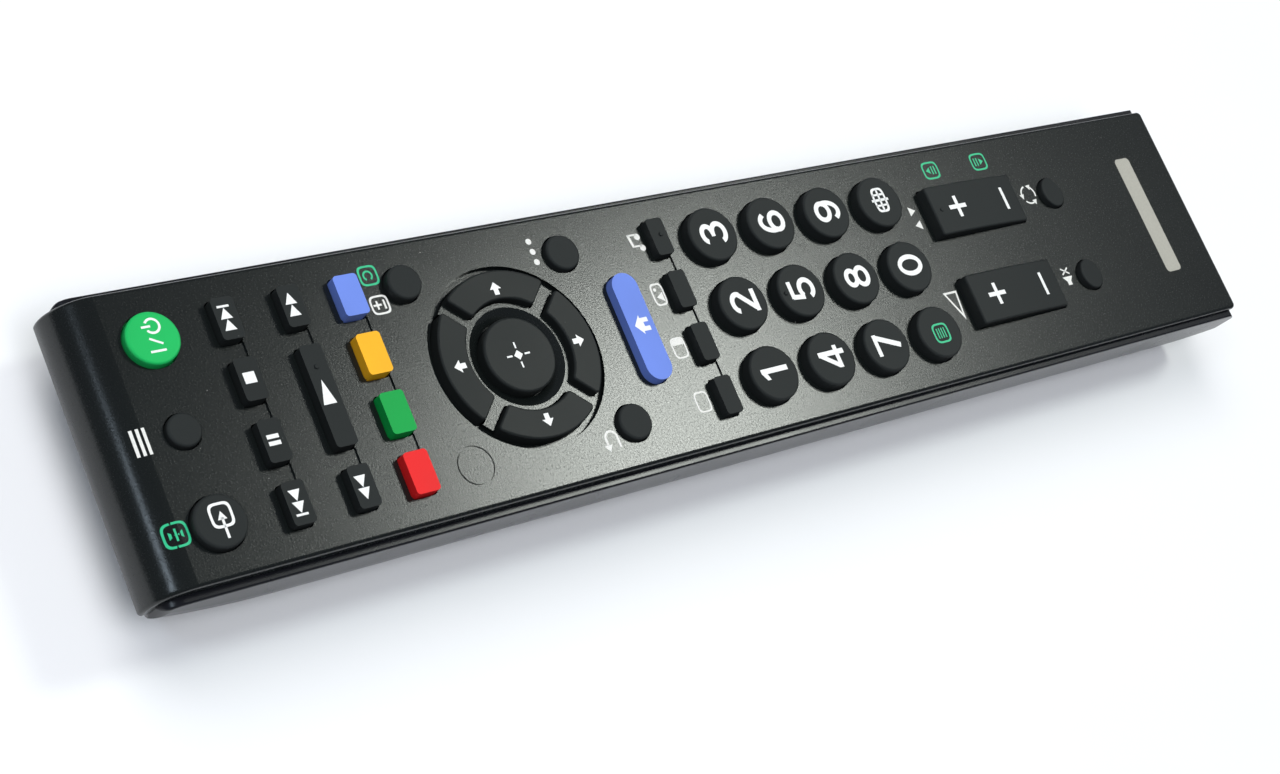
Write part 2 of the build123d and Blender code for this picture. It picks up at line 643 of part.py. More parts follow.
# Top case: one plate that rolls over the nose, with an opening for every key
with BuildPart() as top_case:
    end_angle = radians(NOSE_ANGLE)
    seam_diagonal = SEAM_RADIUS * sqrt(0.5)
    lip_edge = (NOSE_Y + NOSE_RADIUS * sin(end_angle), NOSE_Z + NOSE_RADIUS * cos(end_angle))
    lip_inner = (SEAM_Y + SEAM_RADIUS, lip_edge[1])
    with BuildSketch(Plane.YZ.offset(-TOP_WIDTH / 2)):
        with BuildLine():
            Line((TOP_REAR_Y, SEAM_REAR_Z), (TOP_REAR_Y, PLATE_TOP))
            Line((TOP_REAR_Y, PLATE_TOP), (NOSE_Y, PLATE_TOP))
            ThreePointArc(
                (NOSE_Y, PLATE_TOP),
                (NOSE_Y + NOSE_RADIUS * sin(end_angle / 2), NOSE_Z + NOSE_RADIUS * cos(end_angle / 2)),
                lip_edge,
            )
            Polyline(lip_edge, lip_inner, (lip_inner[0], SEAM_Z))
            ThreePointArc(
                (SEAM_Y + SEAM_RADIUS, SEAM_Z),
                (SEAM_Y + seam_diagonal, SEAM_Z + seam_diagonal),
                (SEAM_Y, SEAM_Z + SEAM_RADIUS),
            )
            Line((SEAM_Y, SEAM_Z + SEAM_RADIUS), (TOP_REAR_Y, SEAM_REAR_Z))
        make_face()
    extrude(amount=TOP_WIDTH)
    rear_edges = top_case.faces().sort_by(Axis.Y)[0].edges().filter_by(Axis.Z)
    fillet(rear_edges, TOP_CORNER_ROUND)
    top_face = top_case.faces().sort_by(Axis.Z)[-1]
    fillet([edge for edge in top_face.edges() if edge.center().Y < NOSE_Y - NOSE_RADIUS], TOP_EDGE_ROUND)
    lip_face = top_case.faces().sort_by(Axis.Z)[0]
    fillet(lip_face.edges().sort_by(Axis.Y)[-1], NOSE_LIP_ROUND)

    lip_height = (PLATE_TOP - LIP_FOOT, PLATE_TOP - PLATE_THICKNESS / 2)
    add(block((-LIP_OUTER, LIP_OUTER), (LIP_REAR_Y, LIP_FRONT_Y), lip_height))
    add(
        block((-LIP_INNER, LIP_INNER), (LIP_REAR_Y + LIP_WALL, SEAM_Y), (0, PLATE_UNDER)),
        mode=Mode.SUBTRACT,
    )

    # Recess of the navigation ring, the dish round its middle key and the shallow strips between keys
    with BuildSketch(Plane.XY.offset(PLATE_TOP)):
        with Locations(NAV_PLACE):
            Circle(NAV_RECESS_RADIUS)
            Circle(ARC_OUTER - KEY_CLEARANCE, mode=Mode.SUBTRACT)
    extrude(amount=-NAV_RECESS_DEPTH, mode=Mode.SUBTRACT)
    with Locations((NAV_PLACE[0], NAV_PLACE[1], PLATE_TOP - DISH_DEPTH / 2)):
        Cone(OK_RADIUS, DISH_RADIUS, DISH_DEPTH, mode=Mode.SUBTRACT)
    for row_y, key_length, openings in STRIP_ROWS:
        for before, after in zip(openings, openings[1:]):
            left = before[0] + before[1] / 2 - STRIP_OVERHANG
            right = after[0] - after[1] / 2 + STRIP_OVERHANG
            add(
                block(
                    (left, right),
                    (row_y - key_length / 2 + STRIP_INSET, row_y + key_length / 2 - STRIP_INSET),
                    (PLATE_TOP - STRIP_DEPTH, 2 * PLATE_TOP),
                ),
                mode=Mode.SUBTRACT,
            )
    with BuildSketch(Plane.XY.offset(PLATE_TOP)):
        with Locations(BLANK_PLACE):
            Circle(BLANK_RING_RADIUS + BLANK_RING_WIDTH)
            Circle(BLANK_RING_RADIUS, mode=Mode.SUBTRACT)
    extrude(amount=-BLANK_RING_DEPTH, mode=Mode.SUBTRACT)

    # Openings for the keys
    with BuildSketch(Plane.XY.offset(FLANGE_UNDER)):
        for place, radius, height, label in ROUND_KEYS:
            with Locations(place):
                Circle(radius)
        for place, label, size, height, edges, corner in BAR_KEYS:
            with Locations(place):
                RectangleRounded(*size, corner)
        with Locations(JUMP_PLACE, MUTE_PLACE):
            Circle(PAIR_RADIUS)
        with Locations(PROGRAMME_PLACE, VOLUME_PLACE):
            RectangleRounded(*ROCKER_SIZE, ROCKER_CORNER)
    extrude(amount=PLATE_TOP, mode=Mode.SUBTRACT)
    for turn in (0, 90, 180, 270):
        add(arc_outline(turn, 0, FLANGE_UNDER))
    extrude(amount=PLATE_TOP, mode=Mode.SUBTRACT)
write(top_case.part, "top_case")

# Inner skin of the lower case over the battery door, which follows the shape of the door
with BuildPart() as skin:
    add(lower_hull(SKIN_INSET))
    add(lower_hull(SKIN_INSET + SKIN_THICKNESS), mode=Mode.SUBTRACT)
    add(
        block(
            (-SLOT_HALF - SKIN_OVERLAP, SLOT_HALF + SKIN_OVERLAP),
            (-FAR, DOOR_FRONT_Y + SKIN_OVERLAP),
            (0, DOOR_TAIL_Z + SKIN_OVERLAP),
        ),
        mode=Mode.INTERSECT,
    )

# Lower case: a shell with a ledge round the seam, posts for the board and the bay of the cells
with BuildPart() as bottom_case:
    add(lower_hull(0))
    long_edges = [edge for edge in bottom_case.edges() if edge.length > NOSE_Y]
    fillet([edge for edge in long_edges if edge.center().Z > SEAM_Z], LEDGE_ROUND)
    add(lower_hull(CASE_WALL), mode=Mode.SUBTRACT)

    # Slot for the door, the skin above it and the grooves of its rails
    slot_front = DOOR_FRONT_Y + DOOR_CLEARANCE
    slot_top = DOOR_TAIL_Z + DOOR_CLEARANCE
    add(block((-SLOT_HALF, SLOT_HALF), (-FAR, slot_front), (-DOOR_THICKNESS, slot_top)), mode=Mode.SUBTRACT)
    add(skin.part)
    for side in (-1, 1):
        add(
            block(
                sorted((side * SLOT_HALF, side * (SLOT_HALF + RAIL_REACH))),
                (-FAR, RAIL_FRONT_Y + DOOR_CLEARANCE),
                (RAIL_Z - DOOR_CLEARANCE, RAIL_Z + RAIL_THICKNESS + DOOR_CLEARANCE),
            ),
            mode=Mode.SUBTRACT,
        )

    # Bay of the cells
    bay_front = BAY_MIDDLE_Y + BAY_LENGTH / 2
    bay_rear = BAY_MIDDLE_Y - BAY_LENGTH / 2
    add(
        block(
            (-BAY_HALF - BAY_WALL, BAY_HALF + BAY_WALL),
            (bay_rear - BAY_WALL, bay_front + BAY_WALL),
            (SKIN_INSET, BAY_TOP + BAY_ROOF),
        )
    )
    add(block((-BAY_HALF, BAY_HALF), (bay_rear, bay_front), (0, BAY_TOP)), mode=Mode.SUBTRACT)

    # Posts for the screws
    with BuildSketch(Plane.XY.offset(POST_FOOT_Z)):
        with Locations(*SCREW_PLACES):
            Circle(POST_RADIUS)
    extrude(amount=BOARD_UNDER - POST_FOOT_Z)
    with BuildSketch(Plane.XY.offset(BOARD_UNDER)):
        with Locations(*SCREW_PLACES):
            Circle(SCREW_RADIUS + SCREW_CLEARANCE)
    extrude(amount=-SCREW_LENGTH, mode=Mode.SUBTRACT)

    # Opening of the emitter window
    add(
        block(
            (-WINDOW_SIZE[0] / 2, WINDOW_SIZE[0] / 2),
            (CASE_FRONT_Y - 2 * CASE_WALL, CASE_FRONT_Y + CASE_WALL),
            (WINDOW_Z - WINDOW_SIZE[1] / 2, WINDOW_Z + WINDOW_SIZE[1] / 2),
        ),
        mode=Mode.SUBTRACT,
    )
write(bottom_case.part, "bottom_case")

# Battery door: it follows the underside and the swept rear, and slides on two rails
with BuildPart() as battery_door:
    add(lower_hull(0))
    add(lower_hull(DOOR_THICKNESS), mode=Mode.SUBTRACT)
    door_plan = (-DOOR_WIDTH / 2, DOOR_WIDTH / 2), (-FAR, DOOR_FRONT_Y)
    add(block(*door_plan, (0, DOOR_TAIL_Z)), mode=Mode.INTERSECT)
    for side in (-1, 1):
        inner = side * (DOOR_WIDTH / 2 - RAIL_REACH)
        outer = side * (DOOR_WIDTH / 2 + RAIL_REACH)
        add(block(sorted((inner, outer)), (RAIL_REAR_Y, RAIL_FRONT_Y), (RAIL_Z, RAIL_Z + RAIL_THICKNESS)))
    with Locations([(0, GRIP_FIRST_Y - i * GRIP_PITCH, 0) for i in range(GRIP_COUNT)]):
        Box(GRIP_SIZE[0], GRIP_SIZE[1], 2 * GRIP_DEPTH, mode=Mode.SUBTRACT)
write(battery_door.part, "battery_door")

# Circuit board, screwed to the posts
with BuildPart() as circuit_board:
    add(block((-BOARD_WIDTH / 2, BOARD_WIDTH / 2), (BOARD_REAR_Y, BOARD_FRONT_Y), (BOARD_UNDER, BOARD_TOP)))
    with BuildSketch(Plane.XY.offset(BOARD_UNDER)):
        with Locations(*SCREW_PLACES):
            Circle(SCREW_RADIUS + SCREW_CLEARANCE)
    extrude(amount=BOARD_THICKNESS, mode=Mode.SUBTRACT)
write(circuit_board.part, "circuit_board")

# Rubber sheet on the board, with a hole and a low collar round the foot of every key
with BuildPart() as key_sheet:
    sheet_half = BOARD_WIDTH / 2 - SHEET_MARGIN
    sheet_front = BOARD_FRONT_Y - SHEET_FRONT_GAP
    add(block((-sheet_half, sheet_half), (SHEET_REAR_Y, sheet_front), (BOARD_TOP, SHEET_TOP)))
    with BuildSketch(Plane.XY.offset(SHEET_TOP)):
        with Locations(*feet):
            Circle(STEM_RADIUS + COLLAR_CLEARANCE + COLLAR_WALL)
    extrude(amount=COLLAR_HEIGHT)
    with BuildSketch(Plane.XY.offset(BOARD_TOP)):
        with Locations(*feet):
            Circle(STEM_RADIUS + COLLAR_CLEARANCE)
        with Locations(*SCREW_PLACES):
            Circle(SCREW_HEAD_RADIUS + COLLAR_CLEARANCE)
    extrude(amount=FLANGE_UNDER - BOARD_TOP, mode=Mode.SUBTRACT)
write(key_sheet.part, "key_sheet")

# Screws
with BuildPart() as screws:
    with BuildSketch(Plane.XY.offset(BOARD_TOP)):
        with Locations(*SCREW_PLACES):
            Circle(SCREW_HEAD_RADIUS)
    extrude(amount=SCREW_HEAD_HEIGHT)
    with BuildSketch(Plane.XY.offset(BOARD_TOP)):
        with Locations(*SCREW_PLACES):
            Circle(SCREW_RADIUS)
    extrude(amount=BOARD_THICKNESS - SCREW_LENGTH)
    with BuildSketch(Plane.XY.offset(BOARD_TOP + SCREW_HEAD_HEIGHT)):
        with Locations(*SCREW_PLACES):
            Rectangle(*SCREW_CROSS)
            Rectangle(*SCREW_CROSS, rotation=90)
    extrude(amount=-SCREW_CROSS_DEPTH, mode=Mode.SUBTRACT)
write(screws.part, "screws")

# Cells: each lies along Y with its nub against a plate and its flat end against a spring
plate_gap = CONTACT_GAP + CONTACT_THICKNESS
cell_end = BAY_LENGTH / 2 - plate_gap - CONTACT_TOUCH
with BuildPart() as batteries:
    for side in (-1, 1):
        x = side * CELL_PITCH / 2
        nub_y = BAY_MIDDLE_Y - side * cell_end
        with BuildSketch(Plane.XZ.offset(-nub_y)):
            with Locations((x, CELL_Z)):
                Circle(CELL_NUB_RADIUS)
        extrude(amount=-side * CELL_NUB_LENGTH)
        with BuildSketch(Plane.XZ.offset(-nub_y - side * CELL_NUB_LENGTH)):
            with Locations((x, CELL_Z)):
                Circle(CELL_RADIUS)
        extrude(amount=-side * (CELL_LENGTH - CELL_NUB_LENGTH))
    rims = [edge for edge in batteries.edges().filter_by(GeomType.CIRCLE) if edge.radius == CELL_RADIUS]
    fillet(rims, CELL_EDGE)
write(batteries.part, "batteries")

with BuildPart() as battery_contacts:
    for end in (-1, 1):
        plate_y = BAY_MIDDLE_Y + end * (BAY_LENGTH / 2 - CONTACT_GAP - CONTACT_THICKNESS / 2)
        for side in (-1, 1):
            with Locations((side * CELL_PITCH / 2, plate_y, CELL_Z)):
                Box(CONTACT_SIZE[0], CONTACT_THICKNESS, CONTACT_SIZE[1])
write(battery_contacts.part, "battery_contacts")

# Springs between the flat ends of the cells and their plates
with BuildPart() as battery_springs:
    spring_room = BAY_LENGTH - 2 * plate_gap - CONTACT_TOUCH - CELL_LENGTH
    coil_height = spring_room - 2 * SPRING_WIRE - 2 * CONTACT_GAP
    for side in (-1, 1):
        start_y = BAY_MIDDLE_Y + side * (BAY_LENGTH / 2 - plate_gap - SPRING_WIRE - CONTACT_GAP)
        with BuildLine() as coil:
            Helix(
                coil_height / SPRING_TURNS,
                coil_height,
                SPRING_RADIUS,
                center=(side * CELL_PITCH / 2, start_y, CELL_Z),
                direction=(0, -side, 0),
            )
        with BuildSketch(Plane(origin=coil.line @ 0, z_dir=coil.line % 0)):
            Circle(SPRING_WIRE)
        sweep(path=coil.line, is_frenet=True)
write(battery_springs.part, "battery_springs")

# Emitter: a clear domed body with a foot flange and two bent legs up to the board
with BuildPart() as emitter_led:
    tip_y = CASE_FRONT_Y - CASE_WALL - LED_WINDOW_GAP
    shoulder_y = tip_y - LED_RADIUS
    foot_y = tip_y - LED_LENGTH
    with BuildSketch(Plane.XZ.offset(-foot_y)):
        with Locations((0, WINDOW_Z)):
            Circle(LED_RADIUS)
    extrude(amount=foot_y - shoulder_y)
    with Locations((0, shoulder_y, WINDOW_Z)):
        Sphere(LED_RADIUS)
    with BuildSketch(Plane.XZ.offset(-foot_y)):
        with Locations((0, WINDOW_Z)):
            Circle(LED_FLANGE_RADIUS)
    extrude(amount=-LED_FLANGE_LENGTH)
    for side in (-1, 1):
        leg = (side * LED_LEG_PITCH / 2 - LED_LEG / 2, side * LED_LEG_PITCH / 2 + LED_LEG / 2)
        bend_y = foot_y - LED_LEG_RUN
        add(block(leg, (bend_y, foot_y + LED_LEG), (WINDOW_Z - LED_LEG / 2, WINDOW_Z + LED_LEG / 2)))
        add(block(leg, (bend_y, bend_y + LED_LEG), (WINDOW_Z - LED_LEG / 2, BOARD_UNDER)))
write(emitter_led.part, "emitter_led")

with BuildPart() as ir_window:
    add(lower_hull(0))
    add(lower_hull(CASE_WALL), mode=Mode.SUBTRACT)
    pane_x = WINDOW_SIZE[0] / 2 - WINDOW_CLEARANCE
    pane_z = WINDOW_SIZE[1] / 2 - WINDOW_CLEARANCE
    add(
        block(
            (-pane_x, pane_x),
            (CASE_FRONT_Y - 2 * CASE_WALL, CASE_FRONT_Y),
            (WINDOW_Z - pane_z, WINDOW_Z + pane_z),
        ),
        mode=Mode.INTERSECT,
    )
write(ir_window.part, "ir_window")

# Components under the board
with BuildPart() as controller_chip:
    chip_z = BOARD_UNDER - CHIP_LEG_SIZE[2] - CHIP_SIZE[2] / 2
    with Locations((CHIP_PLACE[0], CHIP_PLACE[1], chip_z)):
        Box(*CHIP_SIZE)
    leg_z = BOARD_UNDER - CHIP_LEG_SIZE[2] / 2
    first_leg_y = CHIP_PLACE[1] - (CHIP_LEG_COUNT - 1) * CHIP_LEG_PITCH / 2
    reach = CHIP_SIZE[0] / 2 + CHIP_LEG_SIZE[0] / 2 - CHIP_LEG_SIZE[2]
    for i in range(CHIP_LEG_COUNT):
        leg_y = first_leg_y + i * CHIP_LEG_PITCH
        with Locations((-reach, leg_y, leg_z), (reach, leg_y, leg_z)):
            Box(*CHIP_LEG_SIZE)
write(controller_chip.part, "controller_chip")

with BuildPart() as resonator:
    with BuildSketch(Plane.XY.offset(BOARD_UNDER - RESONATOR_SIZE[2])):
        with Locations(RESONATOR_PLACE):
            RectangleRounded(RESONATOR_SIZE[0], RESONATOR_SIZE[1], RESONATOR_CORNER)
    extrude(amount=RESONATOR_SIZE[2])
write(resonator.part, "resonator")

with BuildPart() as capacitor:
    with BuildSketch(Plane.XY.offset(BOARD_UNDER - CAPACITOR_HEIGHT)):
        with Locations(CAPACITOR_PLACE):
            Circle(CAPACITOR_RADIUS)
    extrude(amount=CAPACITOR_HEIGHT)
    fillet(capacitor.edges().filter_by(GeomType.CIRCLE), CAPACITOR_EDGE)
write(capacitor.part, "capacitor")
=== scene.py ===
import json
from math import cos, pi, radians, sin

import bmesh
import bpy
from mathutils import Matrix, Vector
from mathutils.bvhtree import BVHTree
from mathutils.geometry import delaunay_2d_cdt


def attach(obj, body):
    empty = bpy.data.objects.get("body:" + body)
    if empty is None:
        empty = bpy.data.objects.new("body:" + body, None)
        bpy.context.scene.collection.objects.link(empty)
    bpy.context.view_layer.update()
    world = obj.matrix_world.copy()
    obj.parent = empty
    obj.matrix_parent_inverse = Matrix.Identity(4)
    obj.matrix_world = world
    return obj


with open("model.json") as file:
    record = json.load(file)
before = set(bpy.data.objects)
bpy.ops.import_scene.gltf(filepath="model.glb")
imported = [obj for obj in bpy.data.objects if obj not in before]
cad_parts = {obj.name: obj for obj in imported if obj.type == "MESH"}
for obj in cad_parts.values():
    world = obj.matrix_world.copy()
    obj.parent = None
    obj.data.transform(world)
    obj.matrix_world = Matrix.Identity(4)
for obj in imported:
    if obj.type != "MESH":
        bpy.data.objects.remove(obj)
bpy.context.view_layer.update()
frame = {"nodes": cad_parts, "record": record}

# Places and sizes of the marks are in millimetres, in the frame of the part: +Y to the emitter end,
# +X to the right hand, +Z up. The tops of all the marks point to +Y.
MM = 0.001

scene = bpy.context.scene
nodes = frame["nodes"]


# Materials

# Noise lies mostly between these two values
NOISE_LOW = 0.3
NOISE_HIGH = 0.7

# Lumps of a moulded surface's sheen, and its specks of dust, in millimetres
CLOUD_SIZE = 18.0
DUST_SPACING = 1.7
DUST_RADIUS = 0.075
DUST_COLOUR = (0.32, 0.32, 0.30)

# Part of a speck's radius that is full; outside it the speck fades
SPECK_CORE = 0.6

PLATE_COLOUR = (0.0058, 0.0076, 0.0074)
PLATE_ROUGHNESS = 0.235
PLATE_DUST_RADIUS = 0.085
PLATE_DUST_SHARE = 0.11
PLATE_DUST_COLOUR = (0.34, 0.34, 0.32)

# The cells' sleeve turns from copper to dark between these places along Y
SLEEVE_EDGE_Y = (-92.5, -92.2)


class Shader:
    """A node material with a Principled shader, built up from named textures."""

    def __init__(self, name, colour, roughness, **values):
        self.material = bpy.data.materials.new(name)
        self.material.use_nodes = True
        self.tree = self.material.node_tree
        self.principled = self.tree.nodes["Principled BSDF"]
        self.principled.inputs["Base Color"].default_value = (*colour, 1)
        self.principled.inputs["Roughness"].default_value = roughness
        for socket, value in values.items():
            self.principled.inputs[socket].default_value = value
        coordinate = self.tree.nodes.new("ShaderNodeTexCoord")
        scale = self.tree.nodes.new("ShaderNodeVectorMath")
        scale.operation = "SCALE"
        scale.inputs["Scale"].default_value = 1 / MM
        self.link(coordinate.outputs["Object"], scale.inputs[0])
        self.place = scale.outputs[0]

    def link(self, source, target):
        """Joins an output to an input."""
        self.tree.links.new(source, target)

    def noise(self, size, detail=2.0, rough=0.5):
        """Noise whose lumps are about size millimetres across."""
        node = self.tree.nodes.new("ShaderNodeTexNoise")
        node.inputs["Scale"].default_value = 1 / size
        node.inputs["Detail"].default_value = detail
        node.inputs["Roughness"].default_value = rough
        self.link(self.place, node.inputs["Vector"])
        return node.outputs["Fac"]

    def ramp(self, source, low, high, start, end):
        """Maps a value from low..high to start..end."""
        node = self.tree.nodes.new("ShaderNodeMapRange")
        node.inputs["From Min"].default_value = low
        node.inputs["From Max"].default_value = high
        node.inputs["To Min"].default_value = start
        node.inputs["To Max"].default_value = end
        self.link(source, node.inputs["Value"])
        return node.outputs["Result"]

    def specks(self, spacing, radius, share):
        """A mask of round specks, one in this share of the cells of a grid. Sizes are in millimetres."""
        cells = self.tree.nodes.new("ShaderNodeTexVoronoi")
        cells.inputs["Scale"].default_value = 1 / spacing
        self.link(self.place, cells.inputs["Vector"])
        near = self.ramp(cells.outputs["Distance"], SPECK_CORE * radius / spacing, radius / spacing, 1, 0)
        split = self.tree.nodes.new("ShaderNodeSeparateColor")
        self.link(cells.outputs["Color"], split.inputs["Color"])
        chosen = self.ramp(split.outputs["Red"], share, share + 0.01, 1, 0)
        return self.product(near, chosen)

    def blend(self, mask, first, second):
        """A colour that goes from first to second where the mask is 1."""
        node = self.tree.nodes.new("ShaderNodeMix")
        node.data_type = "RGBA"
        self.link(mask, node.inputs["Factor"])
        for socket, value in ((node.inputs["A"], first), (node.inputs["B"], second)):
            if isinstance(value, tuple):
                socket.default_value = (*value, 1)
            else:
                self.link(value, socket)
        return node.outputs["Result"]

    def product(self, first, second):
        """One value times another."""
        node = self.tree.nodes.new("ShaderNodeMath")
        node.operation = "MULTIPLY"
        self.link(first, node.inputs[0])
        self.link(second, node.inputs[1])
        return node.outputs["Value"]

    def along(self, axis):
        """Place along X, Y or Z in millimetres."""
        node = self.tree.nodes.new("ShaderNodeSeparateXYZ")
        self.link(self.place, node.inputs["Vector"])
        return node.outputs[axis]

    def colour(self, source):
        """Feeds the base colour."""
        self.link(source, self.principled.inputs["Base Color"])

    def rough(self, source):
        """Feeds the roughness."""
        self.link(source, self.principled.inputs["Roughness"])

    def bump(self, source, depth):
        """Raises the surface by up to depth millimetres."""
        node = self.tree.nodes.new("ShaderNodeBump")
        node.inputs["Distance"].default_value = depth * MM
        node.inputs["Strength"].default_value = 1.0
        self.link(source, node.inputs["Height"])
        self.link(node.outputs["Normal"], self.principled.inputs["Normal"])


def moulded(name, colour, roughness, grain, depth, dust, **values):
    """Moulded plastic or rubber: fine grain, an uneven sheen and a little dust.

    The grain's size and depth are in millimetres. Dust is the share of grid cells with a speck.
    """
    shader = Shader(name, colour, roughness, **values)
    fine = shader.noise(grain, 3.0, 0.6)
    cloud = shader.noise(CLOUD_SIZE, 3.0)
    dark = tuple(0.82 * c for c in colour)
    tone = shader.blend(shader.ramp(cloud, NOISE_LOW, NOISE_HIGH, 0, 1), dark, colour)
    if dust > 0:
        tone = shader.blend(shader.specks(DUST_SPACING, DUST_RADIUS, dust), tone, DUST_COLOUR)
    shader.colour(tone)
    shader.rough(shader.ramp(cloud, NOISE_LOW, NOISE_HIGH, roughness - 0.03, roughness + 0.03))
    shader.bump(fine, depth)
    return shader.material


def plate_plastic():
    """Finely grained plastic of the plate, whose sheen breaks up in the grain."""
    shader = Shader("plate_plastic", PLATE_COLOUR, PLATE_ROUGHNESS, IOR=1.5)
    cloud = shader.ramp(shader.noise(CLOUD_SIZE, 3.0), NOISE_LOW, NOISE_HIGH, 0, 1)
    tone = shader.blend(cloud, tuple(0.85 * c for c in PLATE_COLOUR), PLATE_COLOUR)
    dust = shader.specks(DUST_SPACING, PLATE_DUST_RADIUS, PLATE_DUST_SHARE)
    shader.colour(shader.blend(dust, tone, PLATE_DUST_COLOUR))
    fine = shader.noise(0.3, 3.0, 0.6)
    shader.rough(shader.ramp(fine, NOISE_LOW, NOISE_HIGH, PLATE_ROUGHNESS - 0.06, PLATE_ROUGHNESS + 0.06))
    shader.bump(fine, 0.013)
    return shader.material


def print_ink(name, colour):
    """Screen-printed ink: nearly flat, a little uneven."""
    shader = Shader(name, colour, 0.5)
    patch = shader.noise(0.4, 3.0)
    pale = tuple(0.9 * c for c in colour)
    shader.colour(shader.blend(shader.ramp(patch, 0.35, 0.65, 0, 1), pale, colour))
    shader.bump(patch, 0.004)
    return shader.material


def metal(name, colour, roughness, streak):
    """Plain sheet or wire metal with faint marks, streak millimetres across."""
    shader = Shader(name, colour, roughness, Metallic=1.0)
    lines = shader.noise(streak, 4.0, 0.7)
    shader.colour(shader.blend(lines, tuple(0.75 * c for c in colour), colour))
    shader.rough(shader.ramp(lines, NOISE_LOW, NOISE_HIGH, roughness - 0.06, roughness + 0.08))
    shader.bump(lines, 0.01)
    return shader.material


def window_plastic():
    """Deep red see-through plastic that looks black from outside."""
    shader = Shader("window_plastic", (0.05, 0.002, 0.004), 0.08, IOR=1.5, Alpha=0.94)
    haze = shader.noise(3.0, 2.0)
    shader.rough(shader.ramp(haze, NOISE_LOW, NOISE_HIGH, 0.05, 0.12))
    return shader.material


def lens_plastic():
    """Water-clear epoxy of the emitter."""
    shader = Shader("lens_plastic", (0.80, 0.82, 0.90), 0.05, IOR=1.52, Alpha=0.55)
    haze = shader.noise(2.0, 2.0)
    shader.rough(shader.ramp(haze, NOISE_LOW, NOISE_HIGH, 0.03, 0.10))
    return shader.material


def cell_sleeve():
    """Shrink sleeve: dark, and copper-coloured over the rear end of the cells."""
    shader = Shader("cell_sleeve", (0.03, 0.05, 0.14), 0.28, IOR=1.5)
    dark = shader.ramp(shader.along("Y"), *SLEEVE_EDGE_Y, 0, 1)
    scuff = shader.noise(6.0, 4.0)
    worn = shader.ramp(scuff, NOISE_LOW, NOISE_HIGH, 0, 1)
    tone = shader.blend(worn, (0.025, 0.04, 0.11), (0.035, 0.06, 0.17))
    shader.colour(shader.blend(dark, (0.62, 0.36, 0.10), tone))
    shader.bump(scuff, 0.01)
    return shader.material


plate = plate_plastic()
lower = moulded("lower_plastic", (0.008, 0.0085, 0.0115), 0.265, 0.35, 0.004, 0.05, IOR=1.42)
ring_rubber = moulded("ring_rubber", (0.0155, 0.0180, 0.0178), 0.50, 0.2, 0.010, 0.08, IOR=1.36)
key_rubber = moulded("key_rubber", (0.0195, 0.0225, 0.0225), 0.60, 0.16, 0.012, 0.08, IOR=1.34)
KEY_COLOURS = {
    "power": (0.013, 0.49, 0.115),
    "home": (0.15, 0.245, 0.72),
    "red": (0.82, 0.018, 0.02),
    "green": (0.005, 0.36, 0.065),
    "yellow": (0.95, 0.47, 0.018),
    "blue": (0.16, 0.26, 0.76),
}
coloured_rubbers = {}
for name, colour in KEY_COLOURS.items():
    rubber = moulded(f"{name}_rubber", colour, 0.52, 0.2, 0.009, 0.03, IOR=1.35)
    coloured_rubbers[f"{name}_key"] = rubber
sheet_rubber = moulded("sheet_rubber", (0.10, 0.10, 0.105), 0.6, 0.3, 0.01, 0.0, IOR=1.42)
board_resin = moulded("board_resin", (0.24, 0.15, 0.06), 0.42, 0.3, 0.01, 0.0, IOR=1.5)
chip_resin = moulded("chip_resin", (0.025, 0.025, 0.027), 0.55, 0.12, 0.012, 0.0, IOR=1.5)
steel = metal("screw_steel", (0.56, 0.56, 0.57), 0.32, 0.5)
contact_metal = metal("contact_metal", (0.68, 0.67, 0.63), 0.26, 0.7)
key_ink = print_ink("key_ink", (0.86, 0.87, 0.86))
plate_ink = print_ink("plate_ink", (0.78, 0.78, 0.75))
green_ink = print_ink("green_ink", (0.03, 0.50, 0.24))
band_ink = print_ink("band_ink", (0.40, 0.39, 0.34))

FINISHES = {
    "top_case": plate,
    "nav_up_key": ring_rubber,
    "nav_down_key": ring_rubber,
    "nav_left_key": ring_rubber,
    "nav_right_key": ring_rubber,
    "select_key": ring_rubber,
    "bottom_case": lower,
    "battery_door": lower,
    **coloured_rubbers,
    "key_sheet": sheet_rubber,
    "circuit_board": board_resin,
    "controller_chip": chip_resin,
    "resonator": metal("resonator_metal", (0.62, 0.62, 0.62), 0.3, 0.6),
    "capacitor": cell_sleeve(),
    "batteries": cell_sleeve(),
    "battery_contacts": contact_metal,
    "battery_springs": contact_metal,
    "screws": steel,
    "emitter_led": lens_plastic(),
    "ir_window": window_plastic(),
}
for name, node in nodes.items():
    node.data.materials.clear()
    node.data.materials.append(FINISHES.get(name, key_rubber))


# Outlines of marks. A shape is a list of closed loops: the outside and then its holes.

# Steps along a stroke: millimetres on a straight one, degrees on an arc and on a bend
BAR_STEP = 0.4
ARC_STEP = 8
BEND_STEP = 9
FEWEST_STEPS = 6


def poly(*points):
    """A shape of one loop."""
    return [list(points)]


def on_circle(centre, radius, angle):
    """The point of a circle at an angle in radians."""
    return (centre[0] + radius * cos(angle), centre[1] + radius * sin(angle))


def bar(start, end, width):
    """A straight stroke with square ends."""
    a, b = Vector(start), Vector(end)
    side = (b - a).normalized().orthogonal() * width / 2
    count = max(2, int((b - a).length / BAR_STEP) + 1)
    along = [a.lerp(b, i / (count - 1)) for i in range(count)]
    return [[tuple(p + side) for p in along] + [tuple(p - side) for p in reversed(along)]]


def lines(centre, width, steps, stroke):
    """Short lines across X at several steps from a centre."""
    left, right = centre[0] - width / 2, centre[0] + width / 2
    return [bar((left, centre[1] + dy), (right, centre[1] + dy), stroke) for dy in steps]


def disc(centre, radius, count=40):
    """A filled circle."""
    return [[on_circle(centre, radius, 2 * pi * i / count) for i in range(count)]]


